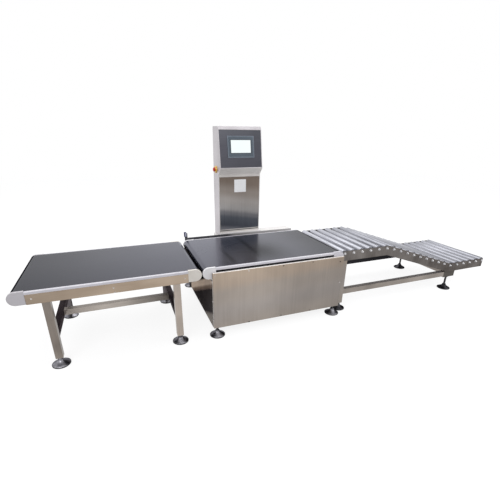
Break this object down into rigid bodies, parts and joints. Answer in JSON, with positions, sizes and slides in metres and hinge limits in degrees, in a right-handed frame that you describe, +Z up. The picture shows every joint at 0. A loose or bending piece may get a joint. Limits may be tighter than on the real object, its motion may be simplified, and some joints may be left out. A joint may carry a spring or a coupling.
{
  "type": "checkweigher",
  "caption": "Inline checkweigher: infeed belt conveyor, weighing belt on a load cell with an operator console, and a stepped gravity roller outfeed on levelling feet.",
  "frame": {"origin": "floor level under the middle of the whole machine's bounding box", "axes": "+X along the line in the direction of travel, +Y to the console side, +Z up"},
  "size_m": [3.5386, 0.9344, 1.28],
  "materials": {
    "sheet_steel": "brushed",
    "rail_steel": "brushed",
    "bar_steel": "brushed",
    "roller_steel": "zinc plated",
    "foot_steel": "satin",
    "cell_aluminium": "anodised",
    "belt_cover": "smooth belt cover",
    "edge_plastic": "moulded",
    "screen_plastic": "moulded",
    "sensor_plastic": "moulded",
    "button_plastic": "moulded"
  },
  "bodies": {
    "machine": {"base_body": "sheet_steel", "base_cover": "sheet_steel", "base_frame": "rail_steel", "console_column": "sheet_steel", "console_screen": "screen_plastic", "infeed_bed": "sheet_steel", "infeed_belt": "belt_cover", "infeed_edge_far": "edge_plastic", "infeed_edge_near": "edge_plastic", "infeed_side_far": "sheet_steel", "infeed_side_near": "sheet_steel", "infeed_stand": "sheet_steel", "load_cell": "cell_aluminium", "outfeed_rail_far": "rail_steel", "outfeed_rail_near": "rail_steel", "outfeed_stand": "sheet_steel", "rear_bar": "bar_steel", "rear_sensor": "sensor_plastic", "weigh_belt": "belt_cover", "weigh_edge_far": "edge_plastic", "weigh_edge_near": "edge_plastic", "weigh_frame": "sheet_steel"},
    "base_foot_1": {"base_foot_1": "foot_steel"},
    "base_foot_2": {"base_foot_2": "foot_steel"},
    "base_foot_3": {"base_foot_3": "foot_steel"},
    "base_foot_4": {"base_foot_4": "foot_steel"},
    "emergency_stop": {"emergency_stop": "button_plastic"},
    "infeed_drive_roller": {"infeed_drive_roller": "roller_steel"},
    "infeed_foot_1": {"infeed_foot_1": "foot_steel"},
    "infeed_foot_2": {"infeed_foot_2": "foot_steel"},
    "infeed_foot_3": {"infeed_foot_3": "foot_steel"},
    "infeed_foot_4": {"infeed_foot_4": "foot_steel"},
    "infeed_tail_roller": {"infeed_tail_roller": "roller_steel"},
    "outfeed_foot_1": {"outfeed_foot_1": "foot_steel"},
    "outfeed_foot_2": {"outfeed_foot_2": "foot_steel"},
    "outfeed_foot_3": {"outfeed_foot_3": "foot_steel"},
    "outfeed_foot_4": {"outfeed_foot_4": "foot_steel"},
    "outfeed_roller_01": {"outfeed_roller_01": "roller_steel"},
    "outfeed_roller_02": {"outfeed_roller_02": "roller_steel"},
    "outfeed_roller_03": {"outfeed_roller_03": "roller_steel"},
    "outfeed_roller_04": {"outfeed_roller_04": "roller_steel"},
    "outfeed_roller_05": {"outfeed_roller_05": "roller_steel"},
    "outfeed_roller_06": {"outfeed_roller_06": "roller_steel"},
    "outfeed_roller_07": {"outfeed_roller_07": "roller_steel"},
    "outfeed_roller_08": {"outfeed_roller_08": "roller_steel"},
    "outfeed_roller_09": {"outfeed_roller_09": "roller_steel"},
    "outfeed_roller_10": {"outfeed_roller_10": "roller_steel"},
    "outfeed_roller_11": {"outfeed_roller_11": "roller_steel"},
    "outfeed_roller_12": {"outfeed_roller_12": "roller_steel"},
    "outfeed_roller_13": {"outfeed_roller_13": "roller_steel"},
    "outfeed_roller_14": {"outfeed_roller_14": "roller_steel"},
    "outfeed_roller_15": {"outfeed_roller_15": "roller_steel"},
    "outfeed_roller_16": {"outfeed_roller_16": "roller_steel"},
    "outfeed_roller_17": {"outfeed_roller_17": "roller_steel"},
    "outfeed_roller_18": {"outfeed_roller_18": "roller_steel"},
    "outfeed_roller_19": {"outfeed_roller_19": "roller_steel"},
    "outfeed_roller_20": {"outfeed_roller_20": "roller_steel"},
    "outfeed_roller_21": {"outfeed_roller_21": "roller_steel"},
    "weigh_drive_roller": {"weigh_drive_roller": "roller_steel"},
    "weigh_tail_roller": {"weigh_tail_roller": "roller_steel"}
  },
  "joints": [
    {"name": "base_foot_1_turn", "type": "hinge", "parent": "machine", "child": "base_foot_1", "pos_m": [-0.67083, -0.4172, 0], "axis": [0, 0, 1], "continuous": true},
    {"name": "base_foot_2_turn", "type": "hinge", "parent": "machine", "child": "base_foot_2", "pos_m": [-0.67083, 0.4172, 0], "axis": [0, 0, 1], "continuous": true},
    {"name": "base_foot_3_turn", "type": "hinge", "parent": "machine", "child": "base_foot_3", "pos_m": [0.21317, -0.4172, 0], "axis": [0, 0, 1], "continuous": true},
    {"name": "base_foot_4_turn", "type": "hinge", "parent": "machine", "child": "base_foot_4", "pos_m": [0.21317, 0.4172, 0], "axis": [0, 0, 1], "continuous": true},
    {"name": "emergency_stop_press", "type": "slide", "parent": "machine", "child": "emergency_stop", "axis": [1, 0, 0], "range_m": [0, 0.004], "stiffness_N_per_m": 1000, "springref_m": -0.001},
    {"name": "infeed_drive_roller_turn", "type": "hinge", "parent": "machine", "child": "infeed_drive_roller", "pos_m": [-0.79783, -0.1105, 0.445], "axis": [0, 1, 0], "continuous": true},
    {"name": "infeed_foot_1_turn", "type": "hinge", "parent": "machine", "child": "infeed_foot_1", "pos_m": [-1.59883, -0.406, 0], "axis": [0, 0, 1], "continuous": true},
    {"name": "infeed_foot_2_turn", "type": "hinge", "parent": "machine", "child": "infeed_foot_2", "pos_m": [-1.59883, 0.185, 0], "axis": [0, 0, 1], "continuous": true},
    {"name": "infeed_foot_3_turn", "type": "hinge", "parent": "machine", "child": "infeed_foot_3", "pos_m": [-0.91283, -0.406, 0], "axis": [0, 0, 1], "continuous": true},
    {"name": "infeed_foot_4_turn", "type": "hinge", "parent": "machine", "child": "infeed_foot_4", "pos_m": [-0.91283, 0.185, 0], "axis": [0, 0, 1], "continuous": true},
    {"name": "infeed_tail_roller_turn", "type": "hinge", "parent": "machine", "child": "infeed_tail_roller", "pos_m": [-1.73183, -0.1105, 0.445], "axis": [0, 1, 0], "continuous": true},
    {"name": "outfeed_foot_1_turn", "type": "hinge", "parent": "machine", "child": "outfeed_foot_1", "pos_m": [0.30196, -0.367, 0], "axis": [0, 0, 1], "continuous": true},
    {"name": "outfeed_foot_2_turn", "type": "hinge", "parent": "machine", "child": "outfeed_foot_2", "pos_m": [0.30196, 0.146, 0], "axis": [0, 0, 1], "continuous": true},
    {"name": "outfeed_foot_3_turn", "type": "hinge", "parent": "machine", "child": "outfeed_foot_3", "pos_m": [1.3992, -0.367, 0], "axis": [0, 0, 1], "continuous": true},
    {"name": "outfeed_foot_4_turn", "type": "hinge", "parent": "machine", "child": "outfeed_foot_4", "pos_m": [1.3992, 0.146, 0], "axis": [0, 0, 1], "continuous": true},
    {"name": "outfeed_roller_01_turn", "type": "hinge", "parent": "machine", "child": "outfeed_roller_01", "pos_m": [0.28117, -0.1105, 0.452], "axis": [0, 1, 0], "continuous": true},
    {"name": "outfeed_roller_02_turn", "type": "hinge", "parent": "machine", "child": "outfeed_roller_02", "pos_m": [0.35617, -0.1105, 0.452], "axis": [0, 1, 0], "continuous": true},
    {"name": "outfeed_roller_03_turn", "type": "hinge", "parent": "machine", "child": "outfeed_roller_03", "pos_m": [0.43117, -0.1105, 0.452], "axis": [0, 1, 0], "continuous": true},
    {"name": "outfeed_roller_04_turn", "type": "hinge", "parent": "machine", "child": "outfeed_roller_04", "pos_m": [0.50617, -0.1105, 0.452], "axis": [0, 1, 0], "continuous": true},
    {"name": "outfeed_roller_05_turn", "type": "hinge", "parent": "machine", "child": "outfeed_roller_05", "pos_m": [0.58117, -0.1105, 0.452], "axis": [0, 1, 0], "continuous": true},
    {"name": "outfeed_roller_06_turn", "type": "hinge", "parent": "machine", "child": "outfeed_roller_06", "pos_m": [0.65617, -0.1105, 0.452], "axis": [0, 1, 0], "continuous": true},
    {"name": "outfeed_roller_07_turn", "type": "hinge", "parent": "machine", "child": "outfeed_roller_07", "pos_m": [0.72351, -0.1105, 0.4366], "axis": [0, 1, 0], "continuous": true},
    {"name": "outfeed_roller_08_turn", "type": "hinge", "parent": "machine", "child": "outfeed_roller_08", "pos_m": [0.79469, -0.1105, 0.41298], "axis": [0, 1, 0], "continuous": true},
    {"name": "outfeed_roller_09_turn", "type": "hinge", "parent": "machine", "child": "outfeed_roller_09", "pos_m": [0.86588, -0.1105, 0.38936], "axis": [0, 1, 0], "continuous": true},
    {"name": "outfeed_roller_10_turn", "type": "hinge", "parent": "machine", "child": "outfeed_roller_10", "pos_m": [0.93706, -0.1105, 0.36574], "axis": [0, 1, 0], "continuous": true},
    {"name": "outfeed_roller_11_turn", "type": "hinge", "parent": "machine", "child": "outfeed_roller_11", "pos_m": [1.00825, -0.1105, 0.34212], "axis": [0, 1, 0], "continuous": true},
    {"name": "outfeed_roller_12_turn", "type": "hinge", "parent": "machine", "child": "outfeed_roller_12", "pos_m": [1.07943, -0.1105, 0.3185], "axis": [0, 1, 0], "continuous": true},
    {"name": "outfeed_roller_13_turn", "type": "hinge", "parent": "machine", "child": "outfeed_roller_13", "pos_m": [1.15061, -0.1105, 0.29488], "axis": [0, 1, 0], "continuous": true},
    {"name": "outfeed_roller_14_turn", "type": "hinge", "parent": "machine", "child": "outfeed_roller_14", "pos_m": [1.2218, -0.1105, 0.27126], "axis": [0, 1, 0], "continuous": true},
    {"name": "outfeed_roller_15_turn", "type": "hinge", "parent": "machine", "child": "outfeed_roller_15", "pos_m": [1.29298, -0.1105, 0.24765], "axis": [0, 1, 0], "continuous": true},
    {"name": "outfeed_roller_16_turn", "type": "hinge", "parent": "machine", "child": "outfeed_roller_16", "pos_m": [1.36933, -0.1105, 0.224], "axis": [0, 1, 0], "continuous": true},
    {"name": "outfeed_roller_17_turn", "type": "hinge", "parent": "machine", "child": "outfeed_roller_17", "pos_m": [1.44433, -0.1105, 0.224], "axis": [0, 1, 0], "continuous": true},
    {"name": "outfeed_roller_18_turn", "type": "hinge", "parent": "machine", "child": "outfeed_roller_18", "pos_m": [1.51933, -0.1105, 0.224], "axis": [0, 1, 0], "continuous": true},
    {"name": "outfeed_roller_19_turn", "type": "hinge", "parent": "machine", "child": "outfeed_roller_19", "pos_m": [1.59433, -0.1105, 0.224], "axis": [0, 1, 0], "continuous": true},
    {"name": "outfeed_roller_20_turn", "type": "hinge", "parent": "machine", "child": "outfeed_roller_20", "pos_m": [1.66933, -0.1105, 0.224], "axis": [0, 1, 0], "continuous": true},
    {"name": "outfeed_roller_21_turn", "type": "hinge", "parent": "machine", "child": "outfeed_roller_21", "pos_m": [1.74433, -0.1105, 0.224], "axis": [0, 1, 0], "continuous": true},
    {"name": "weigh_drive_roller_turn", "type": "hinge", "parent": "machine", "child": "weigh_drive_roller", "pos_m": [0.21717, -0.1105, 0.445], "axis": [0, 1, 0], "continuous": true},
    {"name": "weigh_tail_roller_turn", "type": "hinge", "parent": "machine", "child": "weigh_tail_roller", "pos_m": [-0.71683, -0.1105, 0.445], "axis": [0, 1, 0], "continuous": true}
  ],
  "couplings": [
    {"joint": "infeed_tail_roller_turn", "follows": "infeed_drive_roller_turn", "ratio": 1},
    {"joint": "weigh_tail_roller_turn", "follows": "weigh_drive_roller_turn", "ratio": 1}
  ]
}
